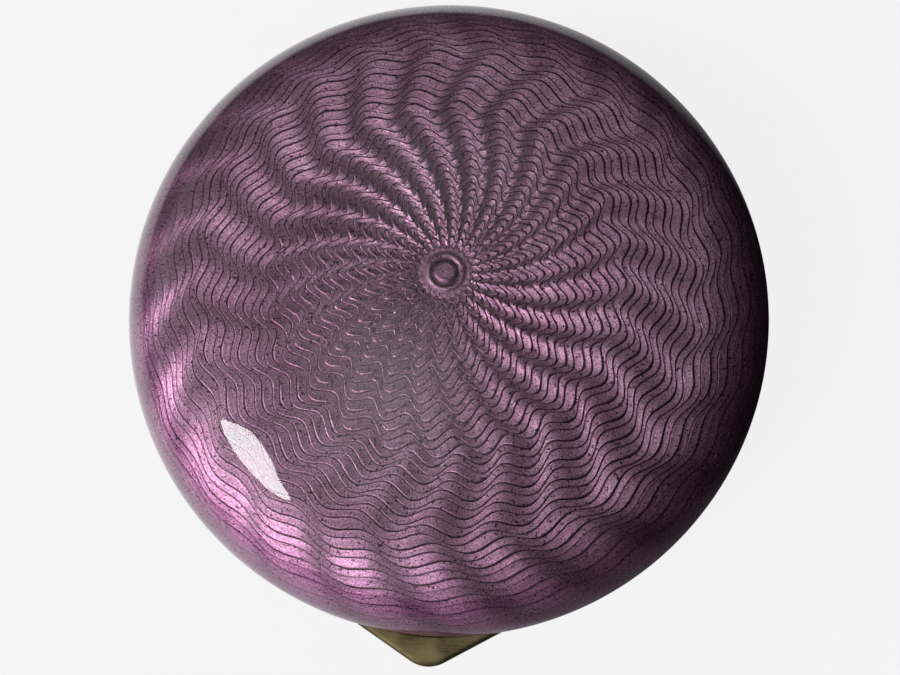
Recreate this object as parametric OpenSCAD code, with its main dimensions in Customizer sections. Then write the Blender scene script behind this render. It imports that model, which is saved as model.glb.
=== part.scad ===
// Round domed pill box: a silver-gilt base and a hinged lid, both covered in
// clear enamel over engine-turned silver. Millimetres, +Z up, standing on its
// foot ring with the origin at the centre of the ring's resting face. The
// thumbpiece points to -Y and the hinge is at +Y.

/* [Box] */
// Diameter over the enamel
box_d = 38; // [32:1:60]
// Thickness of the silver walls of base and lid
silver_t = 0.7; // [0.5:0.05:1.2]
// Thickness of the enamel over the silver
enamel_t = 0.55; // [0.3:0.05:0.9]
// Gap that shows as the seam between base and lid when closed
seam_gap = 0.06; // [0.02:0.01:0.2]

/* [Lid] */
// Radius of the rounded shoulder of the lid
lid_shoulder_r = 7.1; // [4:0.1:10]
// Rise of the shallow crown above the top of the shoulder
crown_rise = 1.75; // [0.8:0.05:4]

/* [Base] */
// Radius of the rounded side of the base
base_shoulder_r = 6.4; // [4:0.1:9]
// Height of the enamel's underside above the surface the box stands on
foot_rise = 0.6; // [0.3:0.05:2]
// Width of the foot ring, measured radially
foot_w = 1.3; // [0.8:0.1:2.5]
// Flat of enamel between the rounded side and the foot ring
foot_inset = 0.6; // [0.2:0.1:3]

/* [Collar] */
// Height of the collar that stands up inside the lid
collar_h = 2; // [1.2:0.1:3]
// Thickness of the collar inside the base
collar_t = 0.45; // [0.3:0.05:0.8]
// Radial gap between the collar and the lid
collar_clear = 0.12; // [0.1:0.01:0.2]
// Height of the bead round the collar that gives the lid its grip
bead_h = 0.05; // [0.02:0.01:0.06]

/* [Thumbpiece] */
// Width of the thumbpiece where it leaves the rim
thumb_w = 8.6; // [5:0.1:12]
// Distance that the thumbpiece stands out from the rim
thumb_out = 1.7; // [1.2:0.1:3]
// Radius of its rounded tip
thumb_tip_r = 1.9; // [0.8:0.1:2.4]
// Thickness of the thumbpiece
thumb_t = 1; // [0.6:0.05:1.1]

/* [Hinge] */
// Width of the hinge, which is the width of its bearers
hinge_w = 8.8; // [7.4:0.1:12]
// Outer radius of the knuckles
knuckle_r = 0.75; // [0.65:0.05:1]
// Radius of the hinge pin
pin_r = 0.4; // [0.25:0.01:0.5]
// Radial clearance of the pin in the lid's knuckles
pin_clear = 0.03; // [0.02:0.01:0.06]
// Gap round and between knuckles of base and lid
knuckle_gap = 0.12; // [0.08:0.01:0.2]
// Metal left between the hinge channel and the inside of the rim
channel_land = 0.08; // [0.05:0.01:0.3]
// Thickness of the stop lips above and below the knuckles
lip_t = 0.33; // [0.2:0.01:0.6]
// Distance that the stop lips reach behind the hinge axis
lip_out = 0.62; // [0.4:0.01:0.8]

/* [Hidden] */
$fn = 96;

box_r = box_d / 2;
wall_t = silver_t + enamel_t;
inner_r = box_r - wall_t;
// Both rims are just high enough for a knuckle, its gap and a stop lip
rim_h = knuckle_r + knuckle_gap + lip_t;
base_rim_z = foot_rise + base_shoulder_r;
joint_z = base_rim_z + rim_h;
lid_bottom_z = joint_z + seam_gap;
lid_rim_z = joint_z + rim_h;

// The crown is an arc centred on the box's axis and tangent to the shoulder's arc
crown_span = box_r - lid_shoulder_r;
crown_r = (pow(crown_span, 2) + pow(crown_rise, 2) + 2 * lid_shoulder_r * crown_rise) / (2 * crown_rise);
crown_centre_z = lid_shoulder_r + crown_rise - crown_r;
crown_angle = atan2(crown_span, -crown_centre_z);

// Straight steps along each arc of the turned profiles
shoulder_steps = 14;
crown_steps = 8;
tip_steps = 12;

foot_r = box_r - base_shoulder_r - foot_inset;
collar_chamfer = 0.15;
thumb_sink = 0.5;

// Five knuckles share the hinge's width, less a gap at each end and between two
knuckle_count = 5;
knuckle_pitch = (hinge_w - knuckle_gap) / knuckle_count;
knuckle_w = knuckle_pitch - knuckle_gap;
channel_r = knuckle_r + knuckle_gap;
hinge_y = inner_r + channel_land + channel_r;
cut_over = 1;

silver_color = "#b8b4ae";
enamel_color = "#7a4a76";
gilt_color = "#a08a4c";

// The lid's outline at a depth below its outer surface, from the rim to the apex
function lid_curve(depth) = concat(
    [for (i = [0 : shoulder_steps])
        let (a = i / shoulder_steps * (90 - crown_angle))
        [crown_span + (lid_shoulder_r - depth) * cos(a), (lid_shoulder_r - depth) * sin(a)]],
    [for (i = [1 : crown_steps])
        let (a = (1 - i / crown_steps) * crown_angle)
        [(crown_r - depth) * sin(a), crown_centre_z + (crown_r - depth) * cos(a)]]);

// The base's rounded side at a depth below its outer surface, from the rim to the floor
function base_curve(depth) =
    [for (i = [0 : shoulder_steps])
        let (a = i / shoulder_steps * 90)
        [box_r - base_shoulder_r + (base_shoulder_r - depth) * cos(a), -(base_shoulder_r - depth) * sin(a)]];

function reversed(list) = [for (i = [len(list) - 1 : -1 : 0]) list[i]];

// Height of the base's floor at a depth below its outer surface
function floor_z(depth) = depth - base_shoulder_r;

// Start of a knuckle along X, counted from the left seen from behind the thumbpiece
function knuckle_x(index) = -hinge_w / 2 + knuckle_gap + index * knuckle_pitch;

// A solid turned from a closed outline whose zero height lies at z
module turned(z, outline) {
    translate([0, 0, z])
        rotate_extrude()
            polygon(outline);
}

// A flat-topped ring between two radii and two heights
module ring(r_in, r_out, z_low, z_high) {
    translate([0, 0, z_low])
        difference() {
            cylinder(r = r_out, h = z_high - z_low);
            translate([0, 0, -cut_over])
                cylinder(r = r_in, h = z_high - z_low + 2 * cut_over);
        }
}

// A cylinder along the hinge axis from x over a length
module hinge_rod(r, x, length) {
    translate([x, hinge_y, joint_z])
        rotate([0, 90, 0])
            cylinder(r = r, h = length);
}

// The hinge's share of the rim, cut out of the bezels and filled by the bearers
module hinge_gap(y_back) {
    translate([-hinge_w / 2, 0, 0])
        cube([hinge_w, y_back, joint_z + 2 * rim_h]);
}

// A rim ring that stops at both ends of the hinge
module bezel(z_low, z_high) {
    difference() {
        ring(inner_r, box_r, z_low, z_high);
        hinge_gap(box_r + cut_over);
    }
}

// The bar let into a rim: it holds its own knuckles and clears the others
module bearer(z_low, z_high, lip_z, cleared) {
    difference() {
        union() {
            intersection() {
                ring(inner_r, box_r, z_low, z_high);
                hinge_gap(hinge_y);
            }
            translate([-hinge_w / 2, hinge_y - channel_r / 2, lip_z])
                cube([hinge_w, channel_r / 2 + lip_out, lip_t]);
        }
        hinge_rod(knuckle_r, -hinge_w / 2 - cut_over, hinge_w + 2 * cut_over);
        for (index = cleared)
            hinge_rod(channel_r, knuckle_x(index) - knuckle_gap, knuckle_w + 2 * knuckle_gap);
    }
}

// One tube of the hinge, bored for the pin
module knuckle(index, bore_r) {
    difference() {
        hinge_rod(knuckle_r, knuckle_x(index), knuckle_w);
        hinge_rod(bore_r, knuckle_x(index) - cut_over, knuckle_w + 2 * cut_over);
    }
}

// Engine-turned silver dome under the lid's enamel
module lid_shell() {
    color(silver_color)
        turned(lid_rim_z, concat(lid_curve(enamel_t), reversed(lid_curve(wall_t))));
}

// Clear enamel over the whole of the lid's dome
module lid_enamel() {
    color(enamel_color)
        turned(lid_rim_z, concat(lid_curve(0), reversed(lid_curve(enamel_t))));
}

// Gilt rim of the lid, which carries the dome and the edge of its enamel
module lid_bezel() {
    color(gilt_color)
        bezel(lid_bottom_z, lid_rim_z);
}

// Rounded triangular tab soldered to the front of the lid's rim. Its two
// straight sides run from the rim and touch the tip's arc.
module thumbpiece() {
    root_x = thumb_w / 2;
    root_y = sqrt(pow(box_r, 2) - pow(root_x, 2));
    tip_y = box_r + thumb_out - thumb_tip_r;
    reach = norm([root_x, tip_y - root_y]);
    side_angle = atan2(tip_y - root_y, root_x) + asin(thumb_tip_r / reach);
    color(gilt_color)
        translate([0, 0, lid_rim_z - thumb_t])
            difference() {
                linear_extrude(height = thumb_t)
                    polygon(concat(
                        [[root_x, thumb_sink - root_y]],
                        [[root_x, -root_y]],
                        [for (i = [0 : tip_steps])
                            let (a = side_angle * (1 - 2 * i / tip_steps))
                            [thumb_tip_r * sin(a), -tip_y - thumb_tip_r * cos(a)]],
                        [[-root_x, -root_y]],
                        [[-root_x, thumb_sink - root_y]]));
                translate([0, 0, -cut_over])
                    cylinder(r = box_r, h = thumb_t + 2 * cut_over);
            }
}

module lid_hinge_bearer() {
    color(gilt_color)
        bearer(lid_bottom_z, lid_rim_z, lid_rim_z - lip_t, [0, 2, 4]);
}

module lid_knuckle_left() {
    color(gilt_color)
        knuckle(1, pin_r + pin_clear);
}

module lid_knuckle_right() {
    color(gilt_color)
        knuckle(3, pin_r + pin_clear);
}

// Engine-turned silver bowl under the base's enamel, with a flat floor
module base_shell() {
    color(silver_color)
        turned(base_rim_z, concat(
            base_curve(enamel_t),
            [[0, floor_z(enamel_t)], [0, floor_z(wall_t)]],
            reversed(base_curve(wall_t))));
}

// Clear enamel round the side of the base, down to the foot ring
module base_enamel() {
    color(enamel_color)
        turned(base_rim_z, concat(
            base_curve(0),
            [[foot_r, floor_z(0)], [foot_r, floor_z(enamel_t)]],
            reversed(base_curve(enamel_t))));
}

// Gilt rim of the base, which holds the upper edge of its enamel
module base_bezel() {
    color(gilt_color)
        bezel(base_rim_z, joint_z);
}

// Thin gilt collar soldered inside the base's rim. It stands up inside the lid,
// and a low bead round it gives the closed lid its grip.
module base_collar() {
    upper_r = inner_r - collar_clear;
    bead_z = joint_z + collar_h / 2;
    color(gilt_color)
        turned(0, [
            [inner_r - collar_t, base_rim_z],
            [inner_r, base_rim_z],
            [inner_r, joint_z],
            [upper_r, joint_z],
            [upper_r, bead_z - 2 * bead_h],
            [upper_r + bead_h, bead_z],
            [upper_r, bead_z + 2 * bead_h],
            [upper_r, joint_z + collar_h - collar_chamfer],
            [upper_r - collar_chamfer, joint_z + collar_h],
            [inner_r - collar_t, joint_z + collar_h]]);
}

// Gilt ring that the box stands on, holding the lower edge of the enamel
module foot_ring() {
    color(gilt_color)
        ring(foot_r - foot_w, foot_r, 0, foot_rise + enamel_t);
}

module base_hinge_bearer() {
    color(gilt_color)
        bearer(base_rim_z, joint_z, base_rim_z, [1, 3]);
}

module base_knuckle_left() {
    color(gilt_color)
        knuckle(0, pin_r);
}

module base_knuckle_middle() {
    color(gilt_color)
        knuckle(2, pin_r);
}

module base_knuckle_right() {
    color(gilt_color)
        knuckle(4, pin_r);
}

// Straight pin through all five knuckles, tight in the base's three
module hinge_pin() {
    color(gilt_color)
        hinge_rod(pin_r, knuckle_x(0), hinge_w - 2 * knuckle_gap);
}

lid_shell();
lid_enamel();
lid_bezel();
thumbpiece();
lid_hinge_bearer();
lid_knuckle_left();
lid_knuckle_right();
base_shell();
base_enamel();
base_bezel();
base_collar();
foot_ring();
base_hinge_bearer();
base_knuckle_left();
base_knuckle_middle();
base_knuckle_right();
hinge_pin();
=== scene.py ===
"""Looks of a round pill box: amethyst enamel over engine-turned silver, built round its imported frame.

Lengths are in metres in the frame of the CAD model. Each sub-assembly is a class that builds its meshes
from numpy grids and dresses them, and each finish is a small frozen dataclass that makes one material.
"""

import logging
import math
from dataclasses import dataclass
from enum import Enum

import bpy
import numpy as np
from mathutils import Matrix, Vector


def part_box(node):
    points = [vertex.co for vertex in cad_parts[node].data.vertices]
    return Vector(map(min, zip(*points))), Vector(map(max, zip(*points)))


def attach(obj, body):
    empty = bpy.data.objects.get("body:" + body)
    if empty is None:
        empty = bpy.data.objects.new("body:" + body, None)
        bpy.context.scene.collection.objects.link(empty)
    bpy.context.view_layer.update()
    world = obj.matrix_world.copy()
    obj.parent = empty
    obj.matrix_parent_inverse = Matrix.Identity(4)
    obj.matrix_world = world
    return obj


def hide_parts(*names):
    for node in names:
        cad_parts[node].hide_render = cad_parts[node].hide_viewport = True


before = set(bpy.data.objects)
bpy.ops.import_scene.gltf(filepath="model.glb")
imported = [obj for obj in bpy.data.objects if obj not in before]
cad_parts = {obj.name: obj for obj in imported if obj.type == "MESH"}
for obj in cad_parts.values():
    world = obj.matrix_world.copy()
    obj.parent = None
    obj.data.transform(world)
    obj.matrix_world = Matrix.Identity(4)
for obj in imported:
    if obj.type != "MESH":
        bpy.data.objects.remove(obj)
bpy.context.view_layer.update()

MM = 0.001
TURN = 2.0 * math.pi
LOG = logging.getLogger("pill_box")
NO_EDGE = -1             # sharp-line number of a vertex that lies on none


class Body(Enum):
    """The two rigid bodies of the box."""

    BASE = "base"
    LID = "lid"


class Slot(Enum):
    """Names of the material slots of the pieces."""

    SILVER = "turned_silver"
    ENAMEL = "amethyst_enamel"
    GILT = "gilt"
    PIN = "steel_pin"


# ----------------------------------------
# Meshes
# ----------------------------------------


@dataclass
class Surface:
    """A mesh under construction: points, faces as index rows, and values carried with them.

    Attributes:
        points: Vertex places, one row of x, y, z each.
        faces: Lists of vertex indices.
        slots: One material index for each face.
        uv: One u, v pair for each vertex, or None.
        values: Named vertex attributes, one number for each vertex.
        sharp_rows: For each vertex the number of the sharp line it lies on, or -1.
        uv_turn: The u that a full turn adds, where the mesh closes on itself.
    """

    points: np.ndarray
    faces: list[np.ndarray]
    slots: list[int]
    uv: np.ndarray | None = None
    values: dict[str, np.ndarray] | None = None
    sharp_rows: np.ndarray | None = None
    uv_turn: float = 0.0

    def build(self, name: str, materials: list[bpy.types.Material]) -> bpy.types.Object:
        """Makes the Blender object.

        Args:
            name: The piece's name.
            materials: One material for each material index.

        Returns:
            The object, at the origin, with its place in its mesh.
        """
        mesh = bpy.data.meshes.new(name)
        corners = np.concatenate([block.ravel() for block in self.faces]).astype(np.int32)
        sizes = np.concatenate([np.full(len(block), block.shape[1], np.int32) for block in self.faces])
        starts = np.concatenate([[0], np.cumsum(sizes)[:-1]]).astype(np.int32)
        slots = np.concatenate([np.full(len(b), s, np.int32) for b, s in zip(self.faces, self.slots)])
        mesh.vertices.add(len(self.points))
        mesh.vertices.foreach_set("co", self.points.astype(np.float32).ravel())
        mesh.loops.add(len(corners))
        mesh.loops.foreach_set("vertex_index", corners)
        mesh.polygons.add(len(sizes))
        mesh.polygons.foreach_set("loop_start", starts)
        mesh.polygons.foreach_set("loop_total", sizes)
        mesh.polygons.foreach_set("material_index", slots)
        mesh.polygons.foreach_set("use_smooth", np.ones(len(sizes), bool))
        mesh.update(calc_edges=True)
        mesh.validate()
        if self.uv is not None:
            layer = mesh.uv_layers.new(name="Turning")
            layer.uv.foreach_set("vector", self.closed_uv(corners, starts, sizes).ravel())
        for label, numbers in (self.values or {}).items():
            attribute = mesh.attributes.new(label, "FLOAT", "POINT")
            attribute.data.foreach_set("value", numbers.astype(np.float32))
        if self.sharp_rows is not None:
            pairs = np.empty(len(mesh.edges) * 2, np.int32)
            mesh.edges.foreach_get("vertices", pairs)
            rows = self.sharp_rows[pairs.reshape(-1, 2)]
            sharp = (rows[:, 0] >= 0) & (rows[:, 0] == rows[:, 1])
            mesh.attributes.new("sharp_edge", "BOOLEAN", "EDGE").data.foreach_set("value", sharp)
        for material in materials:
            mesh.materials.append(material)
        piece = bpy.data.objects.new(name, mesh)
        bpy.context.scene.collection.objects.link(piece)
        return piece

    def closed_uv(self, corners: np.ndarray, starts: np.ndarray, sizes: np.ndarray) -> np.ndarray:
        """Gives each face's corners their u, v, and adds a full turn to those that lie past the start."""
        uv = self.uv[corners].astype(np.float32)
        if self.uv_turn:
            furthest = np.repeat(np.maximum.reduceat(uv[:, 0], starts), sizes)
            uv[:, 0] += np.where(uv[:, 0] < furthest - self.uv_turn / 2, self.uv_turn, 0.0)
        return uv


def grid_faces(rows: int, columns: int, rows_close: bool = False, columns_close: bool = True,
               flip: bool = False) -> np.ndarray:
    """Quads of a grid of vertices, which may close on itself either way.

    Face (i, j) joins rows i and i + 1 and columns j and j + 1. Where they close, the last joins the first.

    Args:
        rows: Number of rows of vertices.
        columns: Number of vertices in a row.
        rows_close: Whether the last row joins the first.
        columns_close: Whether the last column joins the first.
        flip: Whether the faces look the other way.

    Returns:
        An array of four vertex indices for each face.
    """
    row, column = np.meshgrid(np.arange(rows - (not rows_close)), np.arange(columns - (not columns_close)),
                              indexing="ij")
    here, there, after = row * columns, (row + 1) % rows * columns, (column + 1) % columns
    quads = np.stack([here + column, there + column, there + after, here + after], axis=-1).reshape(-1, 4)
    return quads[:, ::-1] if flip else quads


def cap_faces(pole: int, first: int, columns: int, flip: bool = False) -> np.ndarray:
    """Triangles from a pole to the ring of vertices round it.

    Args:
        pole: Index of the pole's vertex.
        first: Index of the ring's first vertex.
        columns: Number of vertices in the ring.
        flip: Whether the faces look the other way.

    Returns:
        An array of three vertex indices for each face.
    """
    column = np.arange(columns)
    fans = np.stack([np.full(columns, pole), first + column, first + (column + 1) % columns], axis=-1)
    return fans[:, ::-1] if flip else fans


def lathe(outline: np.ndarray, columns: int) -> np.ndarray:
    """Turns an outline about the Z axis.

    Point (i, j) is (r_i cos a_j, r_i sin a_j, z_i), with a_j going once round.

    Args:
        outline: Rows of radius and height.
        columns: Number of steps round.

    Returns:
        Points, rows of the outline first.
    """
    angle = np.arange(columns) / columns * TURN
    radius, height = outline[:, 0:1], outline[:, 1:2]
    return np.stack([radius * np.cos(angle), radius * np.sin(angle),
                     height + 0.0 * angle], axis=-1).reshape(-1, 3)


def band_section(inner: float, outer: float, low: float, high: float) -> np.ndarray:
    """Corners of a plain ring's section: inner and outer at the bottom, then outer and inner at the top."""
    return np.array([[inner, low], [outer, low], [outer, high], [inner, high]])


def rounded_outline(corners: np.ndarray, radius: np.ndarray, steps: int = 4) -> np.ndarray:
    """Rounds the corners of a closed outline with arcs, by blending along a quadratic curve.

    Each corner P with neighbours A and B gives points (1-t)^2 P_a + 2t(1-t) P + t^2 P_b, where P_a and
    P_b lie the corner's radius away from P towards A and B.

    Args:
        corners: Corner places, in order.
        radius: How far from each corner its rounding starts.
        steps: Steps along each rounding.

    Returns:
        The rounded outline.
    """
    towards_last = np.roll(corners, 1, axis=0) - corners
    towards_next = np.roll(corners, -1, axis=0) - corners
    start = corners + towards_last / np.linalg.norm(towards_last, axis=1)[:, None] * radius[:, None]
    end = corners + towards_next / np.linalg.norm(towards_next, axis=1)[:, None] * radius[:, None]
    t = (np.arange(steps + 1) / steps)[None, :, None]
    curve = (1 - t) ** 2 * start[:, None] + 2 * t * (1 - t) * corners[:, None] + t ** 2 * end[:, None]
    return curve.reshape(-1, corners.shape[1])


# ----------------------------------------
# Materials
# ----------------------------------------


def linear(colour: str) -> tuple[float, float, float, float]:
    """Turns an sRGB hex colour such as "#a08a4c" to linear light, with an alpha of 1."""
    parts = np.array([int(colour[i:i + 2], 16) for i in (1, 3, 5)]) / 255.0
    light = np.where(parts <= 0.04045, parts / 12.92, ((parts + 0.055) / 1.055) ** 2.4)
    return (*light.tolist(), 1.0)


class Graph:
    """The node tree of a material or of the world, under construction."""

    def __init__(self, owner: bpy.types.Material | bpy.types.World, output: str = "OutputMaterial") -> None:
        """Empties the owner's node tree and adds the output.

        Args:
            owner: What the tree belongs to.
            output: Type of the output node, without its prefix.
        """
        self.owner = owner
        owner.use_nodes = True
        self.tree = owner.node_tree
        self.tree.nodes.clear()
        self.output = self.add(output)

    def add(self, kind: str, settings: dict | None = None, stops: tuple[tuple[float, str], ...] = (),
            **inputs: object) -> bpy.types.Node:
        """Adds a node with its settings and links.

        Args:
            kind: The node's type, without its "ShaderNode" prefix.
            settings: Values of the node's own properties.
            stops: Positions and hex colours, where the node is a colour ramp.
            inputs: Socket values or output sockets to link, by socket name with _ for a space, or by
                "at" and the socket's number.

        Returns:
            The node.
        """
        node = self.tree.nodes.new("ShaderNode" + kind)
        for label, value in (settings or {}).items():
            setattr(node, label, value)
        for label, value in inputs.items():
            socket = node.inputs[int(label[2:])] if label[:2] == "at" and label[2:].isdigit() \
                else node.inputs[label.replace("_", " ")]
            if isinstance(value, bpy.types.NodeSocket):
                self.tree.links.new(value, socket)
            else:
                socket.default_value = value
        for element, (position, colour) in zip(node.color_ramp.elements if stops else (), stops):
            element.position = position
            element.color = linear(colour)
        return node

    def finish(self, shader: bpy.types.NodeSocket) -> bpy.types.Material | bpy.types.World:
        """Links the last shader to the output and returns what the tree belongs to."""
        self.tree.links.new(shader, self.output.inputs["Surface"])
        return self.owner


@dataclass(frozen=True)
class TurnedSilver:
    """Fine silver, bright cut on a rose engine, seen through amethyst glass.

    The cut leaves a bright but not mirror-like face with faint tool marks along each ring. The bottom of each
    cut
    is darkened towards the groove colour: painted shade, partly standing for the thicker enamel there. The
    glass holds small specks.

    Attributes:
        name: The material's name.
        facet: Colour of the cut faces.
        facet_dull: Colour of the faces where the enamel above is cloudier.
        groove: Colour in the bottom of a cut: painted groove shade, partly the thicker, darker enamel there.
        grit_mm: Distance between the fine pits of the cut surface, drawn coarse enough to show.
        grit_depth_mm: Depth of the pits.
        speck_mm: Distance between dark specks in the glass at the metal.
        cloud_mm: Distance between the cloudier parts.
        roughness: Micro-roughness of a cut face.
        chatter: Tool marks for each millimetre along a ring and for each ring.
    """

    name: str = "engine_turned_silver"
    facet: str = "#fff4fa"
    facet_dull: str = "#e6d6de"
    groove: str = "#2a0f26"
    grit_mm: float = 0.085
    grit_depth_mm: float = 0.01
    speck_mm: float = 0.17
    cloud_mm: float = 4.0
    roughness: float = 0.31
    chatter: tuple[float, float, float] = (8.0, 9.0, 1.0)

    def make(self) -> bpy.types.Material:
        """Makes the material."""
        graph = Graph(bpy.data.materials.new(self.name))
        place = graph.add("TexCoord").outputs["Object"]
        turning = graph.add("UVMap", {"uv_map": "Turning"}).outputs["UV"]
        cloud = graph.add("TexNoise", Vector=place, Scale=1 / (self.cloud_mm * MM), Detail=3.0)
        facet = graph.add("ValToRGB", stops=((0.35, self.facet_dull), (0.62, self.facet)),
                          Fac=cloud.outputs["Fac"])
        cut = graph.add("Attribute", {"attribute_name": "cut"}).outputs["Fac"]
        grit = graph.add("TexNoise", Vector=place, Scale=1 / (self.grit_mm * MM), Detail=2.0, Roughness=0.8)
        gritty = graph.add("MapRange", Value=grit.outputs["Fac"], From_Min=0.42, From_Max=0.58,
                           To_Min=0.45, To_Max=1.0)
        speck = graph.add("TexNoise", Vector=place, Scale=1 / (self.speck_mm * MM), Detail=1.0)
        clear = graph.add("MapRange", Value=speck.outputs["Fac"], From_Min=0.3, From_Max=0.38,
                          To_Min=0.15, To_Max=1.0)
        clean = graph.add("Math", {"operation": "MULTIPLY"}, at0=gritty.outputs[0], at1=clear.outputs[0])
        # A cut value below 1 paints shade into the bottom of a groove, partly standing for the deeper enamel;
        # the random grit and specks darken it further.
        shade = graph.add("Math", {"operation": "MULTIPLY"}, at0=cut, at1=clean.outputs[0])
        colour = graph.add("Mix", {"data_type": "RGBA"}, at0=shade.outputs[0],
                           at6=linear(self.groove), at7=facet.outputs["Color"])
        marks = graph.add("Mapping", Vector=turning, Scale=self.chatter)
        chatter = graph.add("TexNoise", Vector=marks.outputs[0], Scale=1.0, Detail=2.0)
        rough = graph.add("MapRange", Value=chatter.outputs["Fac"], From_Min=0.3, From_Max=0.7,
                          To_Min=self.roughness - 0.06, To_Max=self.roughness + 0.08)
        tooled = graph.add("Bump", Strength=0.35, Distance=0.01 * MM, Height=chatter.outputs["Fac"])
        relief = graph.add("Bump", Strength=1.0, Distance=self.grit_depth_mm * MM,
                           Height=grit.outputs["Fac"], Normal=tooled.outputs[0])
        shader = graph.add("BsdfPrincipled", Base_Color=colour.outputs[2], Metallic=1.0,
                           Roughness=rough.outputs[0], Normal=relief.outputs[0])
        return graph.finish(shader.outputs[0])


@dataclass(frozen=True)
class AmethystEnamel:
    """Transparent enamel, a lead glass fired on in coats and polished, with no grain of its own.

    Light from lamps passes straight through it to the silver, and what is seen is bent by the glass.

    Attributes:
        name: The material's name.
        tint: Colour of light that has crossed the glass twice near the crown.
        shoulder_tint: The same round the shoulder, where the coats lie thicker.
        lamp_tint: Colour of a lamp's slanting light once it has reached the silver.
        ior: Index of refraction of enamel glass.
        ripple_mm: Distance between the faint ripples that polishing leaves.
    """

    name: str = "amethyst_enamel"
    tint: str = "#e5b8d4"
    shoulder_tint: str = "#d898c6"
    lamp_tint: str = "#7b5a74"
    ior: float = 1.5
    ripple_mm: float = 3.0

    def make(self) -> bpy.types.Material:
        """Makes the material."""
        graph = Graph(bpy.data.materials.new(self.name))
        place = graph.add("TexCoord").outputs["Object"]
        ripple = graph.add("TexNoise", Vector=place, Scale=1 / (self.ripple_mm * MM), Detail=1.0)
        relief = graph.add("Bump", Strength=0.06, Distance=0.2 * MM, Height=ripple.outputs["Fac"])
        upright = graph.add("SeparateXYZ", at0=graph.add("TexCoord").outputs["Normal"])
        level = graph.add("Math", {"operation": "ABSOLUTE"}, at0=upright.outputs["Z"])
        thin = graph.add("MapRange", Value=level.outputs[0], From_Min=0.6, From_Max=0.96)
        depth = graph.add("Mix", {"data_type": "RGBA"}, at0=thin.outputs[0],
                          at6=linear(self.shoulder_tint), at7=linear(self.tint))
        glass = graph.add("BsdfPrincipled", Base_Color=depth.outputs[2], Roughness=0.02, IOR=self.ior,
                          Transmission_Weight=1.0, Normal=relief.outputs[0])
        clear = graph.add("BsdfTransparent", Color=linear(self.lamp_tint))
        path = graph.add("LightPath")
        shader = graph.add("MixShader", at0=path.outputs["Is Shadow Ray"], at1=glass.outputs[0],
                           at2=clear.outputs[0])
        return graph.finish(shader.outputs[0])


class Brushing(Enum):
    """The direction in which a gilt surface was brushed, as how fast its marks change along x, y and z.

    ROUND runs in the piece's own UV map, whose u goes round it, both in millimetres.
    """

    ACROSS = (0.06, 1.0, 1.0)
    ROUND = (1.0, 0.04, 1.0)


@dataclass(frozen=True)
class BrushedGilt:
    """Silver-gilt, finely brushed and tarnished to an olive brass.

    Attributes:
        name: The material's name.
        brushing: The direction of the brush marks.
        bright: Colour of the rubbed metal.
        dull: Colour of the tarnished metal.
        mark_mm: Distance between brush marks, drawn coarse enough to show.
        stain_mm: Distance between patches of tarnish.
        roughness: Micro-roughness of the metal.
    """

    name: str
    brushing: Brushing
    bright: str = "#8d7f5b"
    dull: str = "#514a33"
    mark_mm: float = 0.09
    stain_mm: float = 1.6
    roughness: float = 0.38

    def make(self) -> bpy.types.Material:
        """Makes the material."""
        graph = Graph(bpy.data.materials.new(self.name))
        if self.brushing is Brushing.ROUND:
            source, unit = graph.add("UVMap", {"uv_map": "Turning"}).outputs["UV"], 1.0
        else:
            source, unit = graph.add("TexCoord").outputs["Object"], MM
        scale = [part / (self.mark_mm * unit) for part in self.brushing.value]
        place = graph.add("TexCoord").outputs["Object"]
        lines = graph.add("Mapping", Vector=source, Scale=scale)
        marks = graph.add("TexNoise", Vector=lines.outputs[0], Scale=1.0, Detail=3.0, Roughness=0.65)
        stain = graph.add("TexNoise", Vector=place, Scale=1 / (self.stain_mm * MM), Detail=4.0)
        blend = graph.add("Math", {"operation": "MULTIPLY_ADD"}, at0=marks.outputs["Fac"], at1=0.6,
                          at2=stain.outputs["Fac"])
        colour = graph.add("ValToRGB", stops=((0.62, self.dull), (1.0, self.bright)), Fac=blend.outputs[0])
        rough = graph.add("MapRange", Value=marks.outputs["Fac"], From_Min=0.3, From_Max=0.7,
                          To_Min=self.roughness - 0.08, To_Max=self.roughness + 0.12)
        relief = graph.add("Bump", Strength=0.5, Distance=0.012 * MM, Height=marks.outputs["Fac"])
        shader = graph.add("BsdfPrincipled", Base_Color=colour.outputs["Color"], Metallic=1.0,
                           Roughness=rough.outputs[0], Normal=relief.outputs[0])
        return graph.finish(shader.outputs[0])


@dataclass(frozen=True)
class PinWire:
    """Drawn steel wire: grey, with fine lines along it.

    Attributes:
        name: The material's name.
        bright: Colour of the metal.
        dull: Colour of its darker lines.
        line_mm: Length and spacing of the lines along x, y and z.
    """

    name: str = "drawn_steel_pin"
    bright: str = "#a9a49a"
    dull: str = "#77726a"
    line_mm: tuple[float, float, float] = (0.5, 0.05, 0.05)

    def make(self) -> bpy.types.Material:
        """Makes the material."""
        graph = Graph(bpy.data.materials.new(self.name))
        place = graph.add("TexCoord").outputs["Object"]
        lines = graph.add("Mapping", Vector=place, Scale=[1 / (size * MM) for size in self.line_mm])
        marks = graph.add("TexNoise", Vector=lines.outputs[0], Scale=1.0, Detail=2.0)
        colour = graph.add("ValToRGB", stops=((0.35, self.dull), (0.65, self.bright)),
                           Fac=marks.outputs["Fac"])
        shader = graph.add("BsdfPrincipled", Base_Color=colour.outputs["Color"], Metallic=1.0, Roughness=0.3)
        return graph.finish(shader.outputs[0])


# ----------------------------------------
# The engine turning
# ----------------------------------------


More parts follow.
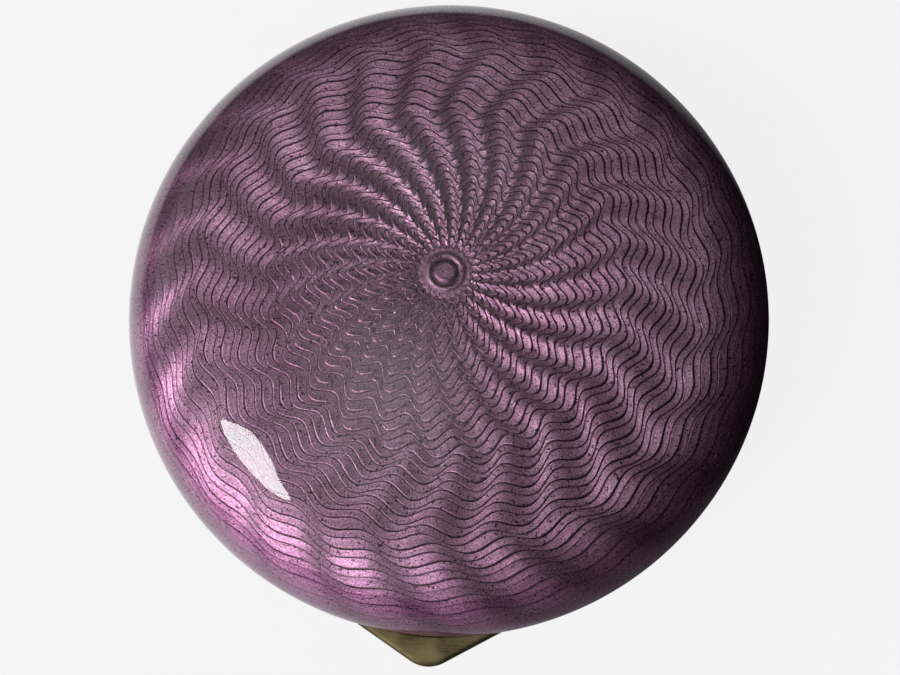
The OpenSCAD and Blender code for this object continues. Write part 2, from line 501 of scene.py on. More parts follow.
@dataclass(frozen=True)
class Dome:
    """A turned outline of two arcs: a shallow crown on the axis, tangent to a rounded shoulder.

    Attributes:
        rim_r: Radius at the rim, where the shoulder stands upright.
        shoulder_r: Radius of the shoulder's arc.
        rise: Rise of the crown above the shoulder's arc.
        rim_z: Height of the rim.
        up: 1 for a dome that rises from its rim, -1 for one that hangs below it.
    """

    rim_r: float
    shoulder_r: float
    rise: float
    rim_z: float
    up: int = 1

    @property
    def span(self) -> float:
        """Distance of the shoulder arc's centre from the axis."""
        return self.rim_r - self.shoulder_r

    @property
    def crown_r(self) -> float:
        """Radius of the crown's arc."""
        return (self.span ** 2 + self.rise ** 2 + 2 * self.shoulder_r * self.rise) / (2 * self.rise)

    @property
    def crown_angle(self) -> float:
        """Slope where the crown's arc meets the shoulder's."""
        return math.atan2(self.span, self.crown_r - self.shoulder_r - self.rise)

    @property
    def length(self) -> float:
        """Length of the outline from the axis to the rim."""
        return self.crown_r * self.crown_angle + self.shoulder_r * (math.pi / 2 - self.crown_angle)

    def slope(self, along: np.ndarray) -> np.ndarray:
        """Slope, in radians, at a distance along the outline from the axis."""
        joint = self.crown_r * self.crown_angle
        beyond = self.crown_angle + (along - joint) / self.shoulder_r
        return np.where(along < joint, along / self.crown_r, beyond)

    def at(self, along: np.ndarray, depth: np.ndarray | float = 0.0) -> tuple[np.ndarray, np.ndarray]:
        """Radius and height at a distance along the outline.

        On the crown the radius is (crown_r - depth) sin(slope); on the shoulder it is
        span + (shoulder_r - depth) sin(slope). Heights take the cosine in the same way.

        Args:
            along: Distance from the axis, measured on the outer surface.
            depth: Depth below the outer surface.

        Returns:
            Radii and heights.
        """
        slope = self.slope(along)
        on_crown = along < self.crown_r * self.crown_angle
        top = self.shoulder_r + self.rise
        radius = np.where(on_crown, (self.crown_r - depth) * np.sin(slope),
                          self.span + (self.shoulder_r - depth) * np.sin(slope))
        height = np.where(on_crown, top - self.crown_r + (self.crown_r - depth) * np.cos(slope),
                          (self.shoulder_r - depth) * np.cos(slope))
        return radius, self.rim_z + self.up * height

    def along_at(self, radius: np.ndarray) -> np.ndarray:
        """Distance along the outline at which the outer surface has a radius."""
        edge = self.crown_r * math.sin(self.crown_angle)
        on_crown = self.crown_r * np.arcsin(np.clip(radius / self.crown_r, -1, 1))
        beyond = np.arcsin(np.clip((radius - self.span) / self.shoulder_r, -1, 1))
        on_shoulder = self.crown_r * self.crown_angle + self.shoulder_r * (beyond - self.crown_angle)
        return np.where(radius < edge, on_crown, on_shoulder)


@dataclass(frozen=True)
class RoseEngine:
    """The engraving of a rose engine: rings that weave in and out as the rosette turns.

    Ring k runs at S_k - A cos(waves * angle - phase_k), measured along the dome from the axis. Two rings
    at a time are cut at the same phase. The phase then steps on, steps back and steps on again from zone
    to zone, which makes the swirling arms. Between rings a broad face rises outwards to a crest, and a
    narrow wall drops to the next ring's groove.

    Attributes:
        waves: Lobes of the rosette.
        pitch: Distance between rings, seen from above, out to the turn of the shoulder.
        steep_from: Number of the ring where the cutting starts to follow the steep side.
        steep_pitch: Distance between rings along the steep side.
        swing: Amplitude of the weave on the crown.
        swing_low: Amplitude of the weave on the steep side.
        offset: How far outside its number's place each ring lies, as a share of the pitch.
        hub_r: Distance from the axis at which the weave starts to grow.
        hub_fade: Distance over which it grows to its full swing.
        low_from: Share of the rim's radius from which the swing shrinks, down to swing_low at the rim.
        start_deg: Phase of ring 13 in the dome's own frame.
        zones: For each zone its first ring, the ring from which its pairs are counted, the phase there
            past start_deg, and the step in phase from pair to pair, both in degrees.
        face_rise: Rise of a broad face over its width.
        profile: Shares of the distance between two rings at which rows lie, and their lifts, from the
            groove over the hollow face to the rounded crest.
        groove: Depth of a groove below the faces, and how much deeper every other one is.
        groove_shade_cut: Cut value in the shallower grooves, where 0 is darkest; it paints shade into them.
            In the others it is 0.
        full_shade_from: Number of the ring from which the grooves take their full painted shade, partly for
            the deeper enamel there.
        pale_over: Number of rings over which that painted shade grows paler inwards from there.
        pale: How much that adds to their cut value.
    """

    waves: int = 24
    pitch: float = 0.4427 * MM
    steep_from: float = 36.75
    steep_pitch: float = 0.572 * MM
    swing: float = 0.348 * MM
    swing_low: float = 0.23 * MM
    offset: float = 0.25
    hub_r: float = 1.1 * MM
    hub_fade: float = 1.9 * MM
    low_from: float = 0.6
    start_deg: float = 307.8
    zones: tuple[tuple[int, int, float, float], ...] = (
        (0, 13, 0.0, 65.0), (22, 22, 210.0, -50.0), (32, 32, 71.0, 56.0))
    face_rise: float = 0.18
    profile: tuple[tuple[float, ...], tuple[float, ...]] = (
        (0.0, 0.07, 0.48, 0.74, 0.86), (0.0, 0.0, 0.42, 0.86, 1.0))
    groove: tuple[float, float] = (0.02 * MM, 0.03 * MM)
    groove_shade_cut: float = 0.3
    full_shade_from: float = 26.0
    pale_over: float = 10.0
    pale: float = 0.5

    def phase(self, ring: np.ndarray) -> np.ndarray:
        """Phase of a ring in radians: in each zone a start and a step for each pair of rings."""
        turned = np.zeros_like(ring)
        for first, counted_from, past, step in self.zones:
            turned = np.where(ring < first, turned, past + step * ((ring - counted_from) // 2))
        return np.radians(self.start_deg + turned)

    def centre_line(self, dome: Dome, ring: np.ndarray) -> np.ndarray:
        """Mean distance of a ring along the dome from the axis."""
        from_above = self.pitch * (np.minimum(ring, self.steep_from) + self.offset)
        return dome.along_at(from_above) + self.steep_pitch * np.maximum(ring - self.steep_from, 0.0)

    def amplitude(self, dome: Dome, along: np.ndarray) -> np.ndarray:
        """Amplitude of the weave: it grows from nothing at the hub and shrinks over the shoulder."""
        grown = np.clip((along - self.hub_r) / self.hub_fade, 0.0, 1.0)
        fall = np.clip((along / dome.rim_r - self.low_from) / (1.0 - self.low_from), 0.0, 1.0)
        return grown * (self.swing + (self.swing_low - self.swing) * fall)

    def rings(self, dome: Dome, angle: np.ndarray, numbers: np.ndarray) -> np.ndarray:
        """Distance of each ring along the dome, one row for each ring and one column for each angle."""
        ring = numbers[:, None].astype(float)
        middle = self.centre_line(dome, ring)
        return middle - self.amplitude(dome, middle) * np.cos(self.waves * angle - self.phase(ring))


@dataclass(frozen=True)
class Hub:
    """The plain centre of the engraving: a small disc in a groove, and one more ring groove round it.

    Attributes:
        lines: Radius, depth below the engraving's faces, and cut value of each turned line, where a value
            below 1 paints shade into the line.
    """

    lines: tuple[tuple[float, float, float], ...] = (
        (0.28 * MM, -0.05 * MM, 0.75),
        (0.32 * MM, -0.04 * MM, 0.6),
        (0.36 * MM, -0.05 * MM, 0.75),
        (0.58 * MM, -0.05 * MM, 0.8),
        (0.65 * MM, 0.04 * MM, 0.5),
        (0.71 * MM, 0.06 * MM, 0.3),
        (0.80 * MM, 0.0, 0.9),
        (0.97 * MM, -0.04 * MM, 1.0),
        (1.05 * MM, 0.03 * MM, 0.6),
        (1.22 * MM, -0.02 * MM, 1.0),
    )


@dataclass
class Piece:
    """A piece that stands for a CAD node.

    Attributes:
        name: The piece's name.
        node: The CAD node that it stands for.
        body: The body that it rides on.
    """

    name: str
    node: str
    body: Body

    def settle(self, surface: Surface, materials: list[bpy.types.Material], slot: Slot) -> bpy.types.Object:
        """Makes the object with its materials, hangs it on its body, hides the CAD node that it stands for,
        and logs it.
        """
        piece = surface.build(self.name, materials)
        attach(piece, self.body.value)
        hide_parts(self.node)
        LOG.info("%s: %d vertices, on the %s", piece.name, len(piece.data.vertices), self.body.value)
        return piece


@dataclass
class TurnedShell(Piece):
    """A silver shell with engine turning outside and a plain gilt inside, as one closed mesh.

    Attributes:
        dome: The enamel's outline over it.
        enamel: Thickness of the enamel.
        wall: Thickness of enamel and silver together.
        rings: Numbers of the first and last woven rings.
        hub: The centre of the engraving, or None where the middle is plain.
        plain_r: Radius of the plain middle where there is no hub.
        columns: Steps round, a whole number for each wave.
        inside_rows: Steps of the plain inside, from the rim to the middle.
        engine: The engine that cut it.
    """

    dome: Dome
    enamel: float
    wall: float
    rings: tuple[int, int]
    hub: Hub | None = None
    plain_r: float = 0.0
    columns: int = 384
    inside_rows: int = 18
    engine: RoseEngine = RoseEngine()

    def engraved(self) -> np.ndarray:
        """Works out the woven part of the surface.

        Between ring k and ring k + 1, a distance g apart, rows lie at the shares of g that the engine
        gives. A row's depth is the enamel's thickness less lift * rise * g * cos(heading), where heading
        is the angle between the ring and a plain circle, so that every face has the same tilt.

        Returns:
            Distance along the dome, depth, cut value, ring coordinate and sharp-line number of every
            point: five layers of one row for each line and one column for each angle.
        """
        engine = self.engine
        angle = np.arange(self.columns) / self.columns * TURN
        numbers = np.arange(self.rings[0], self.rings[1] + 1)
        line = engine.rings(self.dome, angle, numbers)
        rim = np.full((1, self.columns), self.dome.length)
        gap = np.diff(np.concatenate([line, rim]), axis=0)
        radius, _ = self.dome.at(line)
        heading = np.gradient(line, angle, axis=1) / radius
        level = 1.0 / np.sqrt(1.0 + heading ** 2)
        strong = (numbers % 2 == 0)[:, None]
        shares, lifts = (np.array(part)[None, :, None] for part in engine.profile)
        along = line[:, None] + shares * gap[:, None]
        depth = self.enamel - lifts * (engine.face_rise * gap * level)[:, None]
        depth[:, 0] = self.enamel + (engine.groove[0] + engine.groove[1] * strong) * level
        # Cut values below 1 paint shade into the grooves, darkest in every other one and paler towards the
        # hub.
        cut = np.ones(along.shape)
        pale = np.clip((engine.full_shade_from - numbers) / engine.pale_over, 0.0, 1.0)[:, None] * engine.pale
        cut[:, 0] = np.where(strong, 0.0, engine.groove_shade_cut) + pale
        count = numbers[:, None, None] + shares
        row = np.arange(shares.size)[None, :, None]
        sharp = np.where(row < 2, row + shares.size * numbers[:, None, None], NO_EDGE)
        layers = np.broadcast_arrays(along, depth, cut, count, sharp)
        return np.stack(layers).reshape(len(layers), -1, self.columns)

    def even(self, *layers: np.ndarray | float) -> np.ndarray:
        """Rows that are the same all the way round, from one number or one for each row in each layer."""
        table = np.stack(np.broadcast_arrays(*layers))
        return np.repeat(table[:, :, None], self.columns, axis=2)

    def middle(self) -> np.ndarray:
        """Radius, extra depth and cut value of the plain rows inside the woven rings."""
        if self.hub is not None:
            return np.array(self.hub.lines)
        radii = np.linspace(0.1, 1.0, 10) * self.plain_r
        return np.stack([radii, 0 * radii, 1 + 0 * radii], axis=1)

    def build(self, materials: list[bpy.types.Material]) -> bpy.types.Object:
        """Builds and dresses the shell.

        Its rows run from the middle of the outside over the rim's edge to the middle of the inside.

        Args:
            materials: Materials of the engraved outside and the plain inside.

        Returns:
            The finished piece.
        """
        dome, pitch = self.dome, self.engine.pitch
        radii, extra, plain_cut = self.middle().T
        outer_edge = len(self.engine.profile[0]) * (self.rings[1] + 2)
        inward = np.linspace(1.0, 0.02, self.inside_rows) * dome.length
        inner_sharp = np.where(inward == dome.length, outer_edge + 1, NO_EDGE)
        outside = np.concatenate([
            self.even(dome.along_at(radii), self.enamel + extra, plain_cut, radii / pitch, NO_EDGE),
            self.engraved(),
            self.even(np.array([dome.length]), self.enamel, 1.0, self.rings[1] + 1, outer_edge)], axis=1)
        inside = self.even(inward, self.wall, 1.0, inward / pitch, inner_sharp)
        along, depth, cut, count, sharp = np.concatenate([outside, inside], axis=1)
        radius, height = dome.at(along, depth)
        angle = np.arange(self.columns) / self.columns * TURN
        grid = np.stack([radius * np.cos(angle), radius * np.sin(angle), height], -1).reshape(-1, 3)
        _, pole_z = dome.at(np.zeros(2), np.array([self.enamel, self.wall]))
        points = np.concatenate([grid, [[0, 0, z] for z in pole_z]])
        flip = dome.up < 0
        faces = grid_faces(len(along), self.columns, flip=flip)
        outer = (outside.shape[1] - 1) * self.columns
        skin = [faces[:outer], cap_faces(len(grid), 0, self.columns, flip=flip), faces[outer:],
                cap_faces(len(grid) + 1, len(grid) - self.columns, self.columns, flip=not flip)]
        turn = np.broadcast_to(angle * dome.rim_r / MM, radius.shape)
        uv = np.concatenate([np.stack([turn, count], -1).reshape(-1, 2), np.zeros((2, 2))])
        surface = Surface(points, skin, [0, 0, 1, 1], uv=uv, values={"cut": np.append(cut.ravel(), [1, 1])},
                          sharp_rows=np.append(sharp.ravel(), [NO_EDGE, NO_EDGE]),
                          uv_turn=TURN * dome.rim_r / MM)
        return self.settle(surface, materials, Slot.SILVER)


@dataclass
class EnamelSkin(Piece):
    """The fired and polished enamel over a shell, smooth outside.

    Inside it reaches a little way into the silver, so that the glass wets the engraving with no gap.

    Attributes:
        dome: The enamel's outline.
        depth: Depth of its inner side.
        from_r: Inner radius where it is a band, or 0 where it covers the whole dome.
        rows: Steps from the middle to the rim.
        columns: Steps round.
        pole_share: Share of the outline's length inside the first row, where it covers the whole dome.
    """

    dome: Dome
    depth: float
    from_r: float = 0.0
    rows: int = 72
    columns: int = 192
    pole_share: float = 0.01

    def build(self, material: bpy.types.Material) -> bpy.types.Object:
        """Builds and dresses the enamel.

        Its outer side follows the dome's outline at depth 0 and its inner side at the full depth.

        Args:
            material: The enamel.

        Returns:
            The finished piece.
        """
        band = self.from_r > 0
        start = self.dome.along_at(np.array(self.from_r)) if band else self.pole_share * self.dome.length
        outside = np.linspace(start, self.dome.length, self.rows)
        along = np.concatenate([outside, outside[::-1]])
        radius, height = self.dome.at(along, np.repeat([0.0, self.depth], self.rows))
        if band:
            radius[[0, -1]] = self.from_r
        points = lathe(np.stack([radius, height], 1), self.columns)
        flip = self.dome.up < 0
        blocks = [grid_faces(len(along), self.columns, rows_close=band, flip=flip)]
        if not band:
            _, pole_z = self.dome.at(np.zeros(2), np.array([0.0, self.depth]))
            blocks += [cap_faces(len(points), 0, self.columns, flip=flip),
                       cap_faces(len(points) + 1, len(points) - self.columns, self.columns, flip=not flip)]
            points = np.concatenate([points, [[0, 0, z] for z in pole_z]])
        row = np.arange(len(points)) // self.columns
        edges = [self.rows - 1, self.rows] + ([0, len(along) - 1] if band else [])
        sharp = np.where(np.isin(row, edges), row, NO_EDGE)
        surface = Surface(points, blocks, [0] * len(blocks), sharp_rows=sharp)
        return self.settle(surface, [material], Slot.ENAMEL)


@dataclass
class TurnedRing(Piece):
    """A ring with a rounded section: a rim, the collar or the foot.

    Attributes:
        section: Corners of the section, radius and height, going round it.
        rounding: How far from each corner its rounding starts.
        gap_half: Half the width of the gap for the hinge, or 0 for a whole ring.
        columns: Steps round.
    """

    section: np.ndarray
    rounding: np.ndarray
    gap_half: float = 0.0
    columns: int = 288

    def build(self, material: bpy.types.Material) -> bpy.types.Object:
        """Sweeps the section about the Z axis.

        A whole ring is turned once round. One with a gap runs, for each point of the section, from
        the angle asin(gap_half / radius) on one side of +Y to the same angle on the other, so that its
        two ends are flat faces across the hinge.

        Args:
            material: The metal.

        Returns:
            The finished piece.
        """
        outline = rounded_outline(self.section, self.rounding)
        count = len(outline)
        steps = self.columns + (1 if self.gap_half else 0)
        share = np.arange(steps) / self.columns
        start = np.arcsin(self.gap_half / outline[:, 0])[:, None]
        angle = TURN / 4 + start + share[None, :] * (TURN - 2 * start)
        radius, height = outline[:, 0:1], outline[:, 1:2] + 0 * angle
        points = np.stack([radius * np.cos(angle), radius * np.sin(angle), height], -1).reshape(-1, 3)
        blocks = [grid_faces(count, steps, rows_close=True, columns_close=not self.gap_half, flip=True)]
        if self.gap_half:
            column = np.arange(count) * steps
            blocks += [column[None, :], (column + steps - 1)[None, ::-1]]
        length = np.concatenate([[0], np.cumsum(np.linalg.norm(np.diff(outline, axis=0), axis=1))])
        period = TURN * outline[:, 0].max() / MM
        turn = np.broadcast_to(share[None, :] * period, angle.shape)
        uv = np.stack([turn, length[:, None] / MM + 0 * angle], -1).reshape(-1, 2)
        surface = Surface(points, blocks, [0] * len(blocks), uv=uv, uv_turn=0.0 if self.gap_half else period)
        return self.settle(surface, [material], Slot.GILT)


@dataclass
class Thumbpiece(Piece):
    """The rounded triangular tab at the front of the lid's rim.

    Attributes:
        rim_r: Radius of the rim that it stands on.
        tip_r: Radius of its rounded tip.
        edge: Radius of its softened edges.
        across: Steps across.
        outwards: Steps from rim to edge.
        kept: Share of the width that is built, so that the two ends lie in the rim.
        slant_deg: Mean slant of the two sides, for measuring how far a point lies from them.
    """

    rim_r: float
    tip_r: float = 1.9 * MM
    edge: float = 0.3 * MM
    across: int = 96
    outwards: int = 20
    kept: float = 0.9995
    slant_deg: float = 30.0

    def front(self, x: np.ndarray, half: float, reach: float) -> np.ndarray:
        """Distance of the outer edge from the axis at each x.

        Two straight sides run from the rim at x = +-half and touch an arc of the tip's radius, which
        reaches furthest at x = 0.

        Args:
            x: Places across.
            half: Half the width at the rim.
            reach: Distance of the tip from the axis.

        Returns:
            The edge's distance from the axis along -Y.
        """
        root_y = math.sqrt(self.rim_r ** 2 - half ** 2)
        centre_y = reach - self.tip_r
        span = math.hypot(half, centre_y - root_y)
        side = math.atan2(centre_y - root_y, half) + math.asin(self.tip_r / span)
        arc = centre_y + np.sqrt(np.clip(self.tip_r ** 2 - x ** 2, 0, None))
        straight = root_y + (half - np.abs(x)) * math.tan(side)
        return np.where(np.abs(x) < self.tip_r * math.sin(side), arc, straight)

    def build(self, material: bpy.types.Material) -> bpy.types.Object:
        """Builds and dresses the thumbpiece.

        A point of the top is (x, -(root + v (front - root)), height), with v from 0 at the rim to 1 at
        the outer edge. Within the edge radius e of the outer edge, at a distance d from it, the height
        drops by e - sqrt(e^2 - (e - d)^2). The underside mirrors the top.

        Args:
            material: The gilt.

        Returns:
            The finished piece.
        """
        low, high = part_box(self.node)
        half, reach = (high[0] - low[0]) / 2, -low[1]
        middle, thick = (low[2] + high[2]) / 2, (high[2] - low[2]) / 2
        x = np.sin(np.linspace(-1, 1, self.across) * TURN / 4) * half * self.kept
        root = np.sqrt(self.rim_r ** 2 - x ** 2)
        front = self.front(x, half, reach)
        v = np.sin(np.linspace(0, 1, self.outwards) * TURN / 4)[:, None]
        y = root[None, :] + v * (front - root)[None, :]
        away = (front[None, :] - y) * math.cos(math.radians(self.slant_deg))
        edge = min(self.edge, thick)
        drop = edge - np.sqrt(np.clip(edge ** 2 - np.clip(edge - away, 0, None) ** 2, 0, None))
        top = np.stack([x[None, :] + 0 * y, -y, middle + thick - drop], -1).reshape(-1, 3)
        under = top * [1, 1, -1] + [0, 0, 2 * middle]
        count = self.across * self.outwards
        quads = grid_faces(self.outwards, self.across, columns_close=False)
        border = np.concatenate([np.arange(self.across), np.arange(1, self.outwards) * self.across
                                 + self.across - 1, count - 2 - np.arange(self.across - 1),
                                 np.arange(self.outwards - 2, 0, -1) * self.across])
        after = np.roll(border, -1)
        wall = np.stack([border, after, after + count, border + count], -1)
        surface = Surface(np.concatenate([top, under]), [quads, quads[:, ::-1] + count, wall], [0, 0, 0])
        return self.settle(surface, [material], Slot.GILT)


# ----------------------------------------
# The box
# ----------------------------------------


@dataclass(frozen=True)
class Finishes:
    """Every material of the box, made once."""

    silver: bpy.types.Material
    enamel: bpy.types.Material
    turned_gilt: bpy.types.Material
    crossed_gilt: bpy.types.Material
    pin: bpy.types.Material

    @classmethod
    def make(cls) -> "Finishes":
        """Makes the materials."""
        return cls(TurnedSilver().make(), AmethystEnamel().make(),
                   BrushedGilt("gilt_brushed_round", Brushing.ROUND).make(),
                   BrushedGilt("gilt_brushed_across", Brushing.ACROSS).make(), PinWire().make())


@dataclass
class Box:
    """Sizes that the pieces share, read from the frame.

    Attributes:
        rim_r: Radius over the enamel at the rims.
        inner_r: Radius inside the rims.
        enamel: Thickness of the enamel.
        wall: Thickness of enamel and silver together.
        gap_half: Half the width of the hinge's gap in the rims.
        wetting: How far the enamel's inner side reaches into the silver.
    """

    rim_r: float
    inner_r: float
    enamel: float
    wall: float
    gap_half: float
    wetting: float = 0.2 * MM

    @classmethod
    def from_frame(cls) -> "Box":
        """Reads the sizes from the CAD nodes."""
        rim_r = float(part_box("lid_enamel")[1][0])
        enamel = rim_r - float(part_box("lid_shell")[1][0])
        collar_r = float(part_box("base_collar")[1][0])
        return cls(rim_r, collar_r, enamel, rim_r - collar_r, float(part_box("lid_hinge_bearer")[1][0]))


@dataclass
class Lid:
    """The lid: turned silver dome, enamel, rim and thumbpiece.

    Attributes:
        box: The shared sizes.
        shoulder_r: Radius of the dome's shoulder.
        rings: Numbers of the first and last woven rings.
        rim_edges: How far the rim's four corners are rounded: inner and outer below, outer and inner above.
    """

    box: Box
    shoulder_r: float = 7.1 * MM
    rings: tuple[int, int] = (3, 47)
    rim_edges: tuple[float, ...] = (0.08 * MM, 0.22 * MM, 0.1 * MM, 0.02 * MM)

    def dome(self) -> Dome:
        """The outline of the lid's enamel."""
        low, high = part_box("lid_enamel")
        rise = float(high[2] - low[2]) - self.shoulder_r
        return Dome(self.box.rim_r, self.shoulder_r, rise, float(low[2]))

    def build(self, finishes: Finishes) -> None:
        """Builds and dresses the pieces of the lid."""
        dome, box = self.dome(), self.box
        TurnedShell("lid_turned_dome", "lid_shell", Body.LID, dome, box.enamel, box.wall,
                    self.rings, Hub()).build([finishes.silver, finishes.turned_gilt])
        EnamelSkin("lid_enamel_skin", "lid_enamel", Body.LID, dome,
                   box.enamel + box.wetting).build(finishes.enamel)
        low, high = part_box("lid_bezel")
        TurnedRing("lid_rim", "lid_bezel", Body.LID, band_section(box.inner_r, box.rim_r, low[2], high[2]),
                   np.array(self.rim_edges), box.gap_half).build(finishes.turned_gilt)
        Thumbpiece("thumbpiece_tab", "thumbpiece", Body.LID, box.rim_r).build(finishes.crossed_gilt)


@dataclass
class Base:
    """The base: turned silver bowl, enamel, rim, collar and foot ring.

    Attributes:
        box: The shared sizes.
        shoulder_r: Radius of the bowl's side.
        flat_rise: Rise of the bowl's floor, which is all but flat.
        rings: Numbers of the first and last woven rings.
        rim_edges: How far the rim's four corners are rounded: inner and outer below, outer and inner above.
        foot_w: Width of the foot ring.
        foot_edges: The same for the foot ring.
        collar_t: Thickness of the collar.
        collar_clear: Gap between the collar and the lid.
        bead: Height of the bead round the collar, which is four times as tall.
        collar_edge: How far the collar's corners at and below the joint are rounded.
        bead_edge: The same for the bead's.
        top_edge: The same for the collar's top.
    """

    box: Box
    shoulder_r: float = 6.4 * MM
    flat_rise: float = 0.001 * MM
    rings: tuple[int, int] = (29, 46)
    rim_edges: tuple[float, ...] = (0.02 * MM, 0.1 * MM, 0.22 * MM, 0.05 * MM)
    foot_w: float = 1.3 * MM
    foot_edges: tuple[float, ...] = (0.3 * MM, 0.4 * MM, 0.05 * MM, 0.05 * MM)
    collar_t: float = 0.45 * MM
    collar_clear: float = 0.12 * MM
    bead: float = 0.05 * MM
    collar_edge: float = 0.02 * MM
    bead_edge: float = 0.04 * MM
    top_edge: float = 0.12 * MM

    def bowl(self) -> Dome:
        """The outline of the base's enamel, which ends in a flat floor."""
        low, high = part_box("base_enamel")
        return Dome(self.box.rim_r, self.shoulder_r - self.flat_rise, self.flat_rise, float(high[2]), up=-1)

    def build(self, finishes: Finishes) -> None:
        """Builds and dresses the pieces of the base."""
        box, bowl = self.box, self.bowl()
        foot_low, foot_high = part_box("foot_ring")
        foot_r = float(foot_high[0])
        TurnedShell("base_turned_bowl", "base_shell", Body.BASE, bowl, box.enamel, box.wall,
                    self.rings, plain_r=foot_r).build([finishes.silver, finishes.turned_gilt])
        EnamelSkin("base_enamel_skin", "base_enamel", Body.BASE, bowl, box.enamel + box.wetting,
                   from_r=foot_r).build(finishes.enamel)
        low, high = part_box("base_bezel")
        TurnedRing("base_rim", "base_bezel", Body.BASE, band_section(box.inner_r, box.rim_r, low[2], high[2]),
                   np.array(self.rim_edges), box.gap_half).build(finishes.turned_gilt)
        self.build_collar(finishes)
        section = band_section(foot_r - self.foot_w, foot_r, foot_low[2], foot_high[2])
        TurnedRing("foot_band", "foot_ring", Body.BASE, section,
                   np.array(self.foot_edges)).build(finishes.turned_gilt)

    def build_collar(self, finishes: Finishes) -> None:
        """Builds the collar: a step at the joint, a low bead half way up and a softened top."""
        low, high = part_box("base_collar")
        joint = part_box("base_bezel")[1][2]
        outer, inner = self.box.inner_r, self.box.inner_r - self.collar_t
        upper, bead_z = outer - self.collar_clear, (joint + high[2]) / 2
        section = np.array([[inner, low[2]], [outer, low[2]], [outer, joint], [upper, joint],
                            [upper, bead_z - 2 * self.bead], [upper + self.bead, bead_z],
                            [upper, bead_z + 2 * self.bead], [upper, high[2]], [inner, high[2]]])
        rounding = np.repeat([self.collar_edge, self.bead_edge, self.top_edge], [4, 3, 2])
        TurnedRing("inner_collar", "base_collar", Body.BASE, section, rounding).build(finishes.turned_gilt)


@dataclass
class Hinge:
    """The hinge, whose CAD pieces keep their shapes and get their finish here."""

    gilt_nodes: tuple[str, ...] = ("lid_hinge_bearer", "base_hinge_bearer", "lid_knuckle_left",
                                   "lid_knuckle_right", "base_knuckle_left", "base_knuckle_middle",
                                   "base_knuckle_right")
    pin_node: str = "hinge_pin"

    def build(self, finishes: Finishes) -> None:
        """Dresses the pieces of the hinge."""
        for node in (*self.gilt_nodes, self.pin_node):
            metal = finishes.pin if node == self.pin_node else finishes.crossed_gilt
            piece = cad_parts[node]
            piece.data.materials.clear()
            piece.data.materials.append(metal)
            LOG.info("%s: dressed in %s", node, metal.name)


# ----------------------------------------
# The studio
# ----------------------------------------


